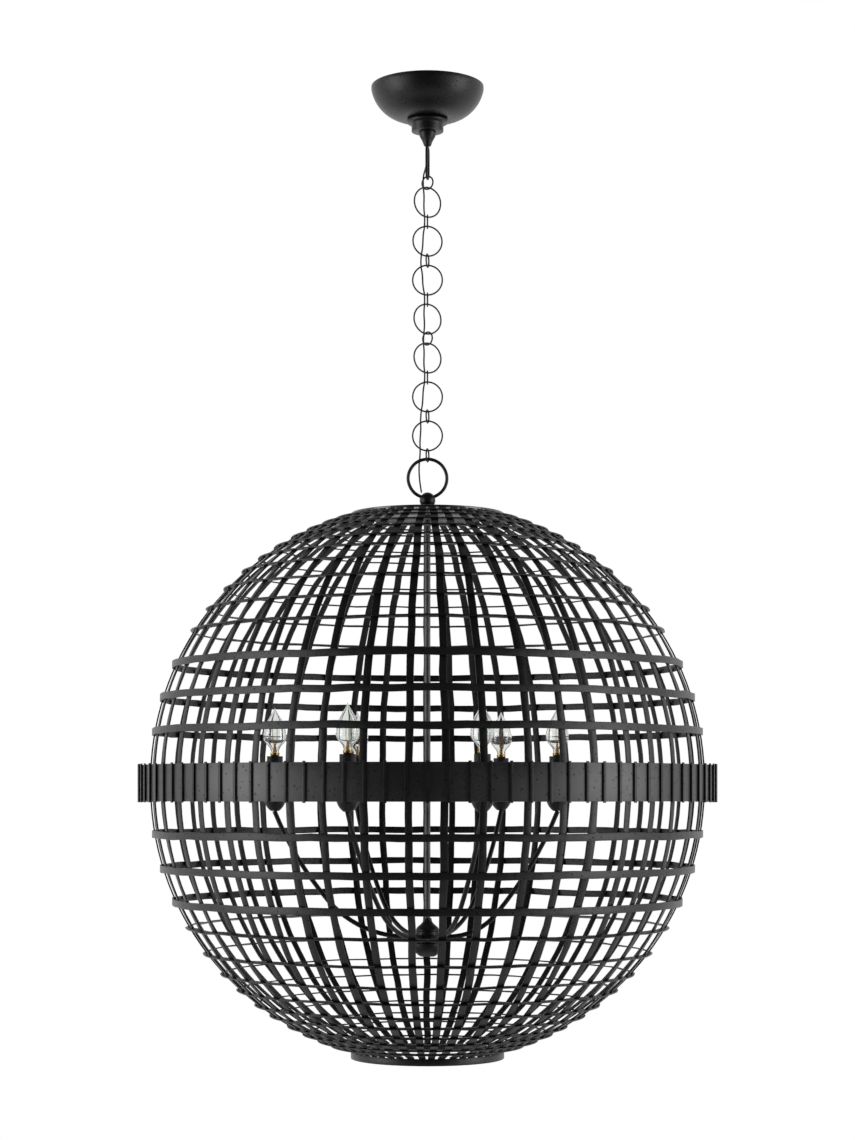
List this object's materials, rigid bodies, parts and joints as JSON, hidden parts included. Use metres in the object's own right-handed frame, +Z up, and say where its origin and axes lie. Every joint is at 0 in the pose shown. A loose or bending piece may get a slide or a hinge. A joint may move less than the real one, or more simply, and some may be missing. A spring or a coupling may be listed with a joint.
{
  "type": "globe lantern",
  "caption": "Ceiling-hung lantern: a globe cage of flat iron ribs and rings with a ribbed belt, a candle cluster inside, on a chain of round links under a domed canopy.",
  "frame": {"origin": "centre of the canopy's rim on the ceiling plane, between the two bolt holes", "axes": "+Z up towards the ceiling, -Y towards the viewer of the picture, +X to the right"},
  "size_m": [0.781, 0.781, 1.3168],
  "materials": {
    "iron": "aged black iron, forged and lightly pitted",
    "zinc": "plain zinc-plated thread",
    "cord": "black insulated cord",
    "sleeve": "matt black candle cover",
    "socket": "moulded lamp holder",
    "brass": "bright brass lamp base",
    "glass": "clear blown glass",
    "filament": "fine wire on a glass stem"
  },
  "bodies": {
    "canopy": {"mounting_bar": "iron", "threaded_nipple": "zinc", "nipple_nut": "iron", "canopy_dish": "iron", "canopy_collar": "iron", "hook_loop": "iron", "cord_canopy": "cord"},
    "small_link_1": {"small_link_1": "iron"},
    "large_ring_1": {"large_ring_1": "iron", "cord_ring_1": "cord"},
    "small_link_2": {"small_link_2": "iron"},
    "large_ring_2": {"large_ring_2": "iron", "cord_ring_2": "cord"},
    "small_link_3": {"small_link_3": "iron"},
    "large_ring_3": {"large_ring_3": "iron", "cord_ring_3": "cord"},
    "small_link_4": {"small_link_4": "iron"},
    "large_ring_4": {"large_ring_4": "iron", "cord_ring_4": "cord"},
    "small_link_5": {"small_link_5": "iron"},
    "large_ring_5": {"large_ring_5": "iron", "cord_ring_5": "cord"},
    "small_link_6": {"small_link_6": "iron"},
    "large_ring_6": {"large_ring_6": "iron", "cord_ring_6": "cord"},
    "small_link_7": {"small_link_7": "iron"},
    "large_ring_7": {"large_ring_7": "iron", "cord_ring_7": "cord"},
    "small_link_8": {"small_link_8": "iron"},
    "hanging_ring": {"hanging_ring": "iron", "cord_hanging": "cord"},
    "globe": {"top_eye": "iron", "top_plate": "iron", "plate_nut": "iron", "ribs": "iron", "upper_rings": "iron", "lower_rings": "iron", "mouth_hoop": "iron", "belt_hoop": "iron", "belt_bars": "iron", "belt_spacers": "iron", "stem": "iron", "hub_body": "iron", "hub_cap": "iron", "hub_finial": "iron", "arms": "iron", "cups": "iron", "candle_sleeves": "sleeve", "sockets": "socket", "bulb_bases": "brass", "bulbs": "glass", "filaments": "filament"}
  },
  "joints": [
    {"name": "small_link_1_swing", "type": "hinge", "parent": "canopy", "child": "small_link_1", "pos_m": [0, 0, -0.1244], "axis": [0.1392, 0.9903, 0], "range_deg": [-10, 10]},
    {"name": "large_ring_1_swing", "type": "hinge", "parent": "small_link_1", "child": "large_ring_1", "pos_m": [0, 0, -0.13865], "axis": [0.848, -0.5299, 0], "range_deg": [-10, 10]},
    {"name": "small_link_2_swing", "type": "hinge", "parent": "large_ring_1", "child": "small_link_2", "pos_m": [0, 0, -0.1765], "axis": [0.8829, 0.4695, 0], "range_deg": [-10, 10]},
    {"name": "large_ring_2_swing", "type": "hinge", "parent": "small_link_2", "child": "large_ring_2", "pos_m": [0, 0, -0.19145], "axis": [0, 1, 0], "range_deg": [-10, 10]},
    {"name": "small_link_3_swing", "type": "hinge", "parent": "large_ring_2", "child": "small_link_3", "pos_m": [0, 0, -0.2293], "axis": [0.9781, 0.2079, 0], "range_deg": [-10, 10]},
    {"name": "large_ring_3_swing", "type": "hinge", "parent": "small_link_3", "child": "large_ring_3", "pos_m": [0, 0, -0.24425], "axis": [0.2079, 0.9781, 0], "range_deg": [-10, 10]},
    {"name": "small_link_4_swing", "type": "hinge", "parent": "large_ring_3", "child": "small_link_4", "pos_m": [0, 0, -0.2821], "axis": [1, 0, 0], "range_deg": [-10, 10]},
    {"name": "large_ring_4_swing", "type": "hinge", "parent": "small_link_4", "child": "large_ring_4", "pos_m": [0, 0, -0.29705], "axis": [0, 1, 0], "range_deg": [-10, 10]},
    {"name": "small_link_5_swing", "type": "hinge", "parent": "large_ring_4", "child": "small_link_5", "pos_m": [0, 0, -0.3349], "axis": [0.9063, 0.4226, 0], "range_deg": [-10, 10]},
    {"name": "large_ring_5_swing", "type": "hinge", "parent": "small_link_5", "child": "large_ring_5", "pos_m": [0, 0, -0.34985], "axis": [0.7431, -0.6691, 0], "range_deg": [-10, 10]},
    {"name": "small_link_6_swing", "type": "hinge", "parent": "large_ring_5", "child": "small_link_6", "pos_m": [0, 0, -0.3877], "axis": [0.9063, 0.4226, 0], "range_deg": [-10, 10]},
    {"name": "large_ring_6_swing", "type": "hinge", "parent": "small_link_6", "child": "large_ring_6", "pos_m": [0, 0, -0.40265], "axis": [0, 1, 0], "range_deg": [-10, 10]},
    {"name": "small_link_7_swing", "type": "hinge", "parent": "large_ring_6", "child": "small_link_7", "pos_m": [0, 0, -0.4405], "axis": [1, 0, 0], "range_deg": [-10, 10]},
    {"name": "large_ring_7_swing", "type": "hinge", "parent": "small_link_7", "child": "large_ring_7", "pos_m": [0, 0, -0.45545], "axis": [0.2079, 0.9781, 0], "range_deg": [-10, 10]},
    {"name": "small_link_8_swing", "type": "hinge", "parent": "large_ring_7", "child": "small_link_8", "pos_m": [0, 0, -0.4933], "axis": [1, 0, 0], "range_deg": [-10, 10]},
    {"name": "hanging_ring_swing", "type": "hinge", "parent": "small_link_8", "child": "hanging_ring", "pos_m": [0, 0, -0.50825], "axis": [0.2079, 0.9781, 0], "range_deg": [-10, 10]},
    {"name": "globe_swing", "type": "hinge", "parent": "hanging_ring", "child": "globe", "pos_m": [0, 0, -0.55725], "axis": [1, 0, 0], "range_deg": [-8, 8]}
  ]
}
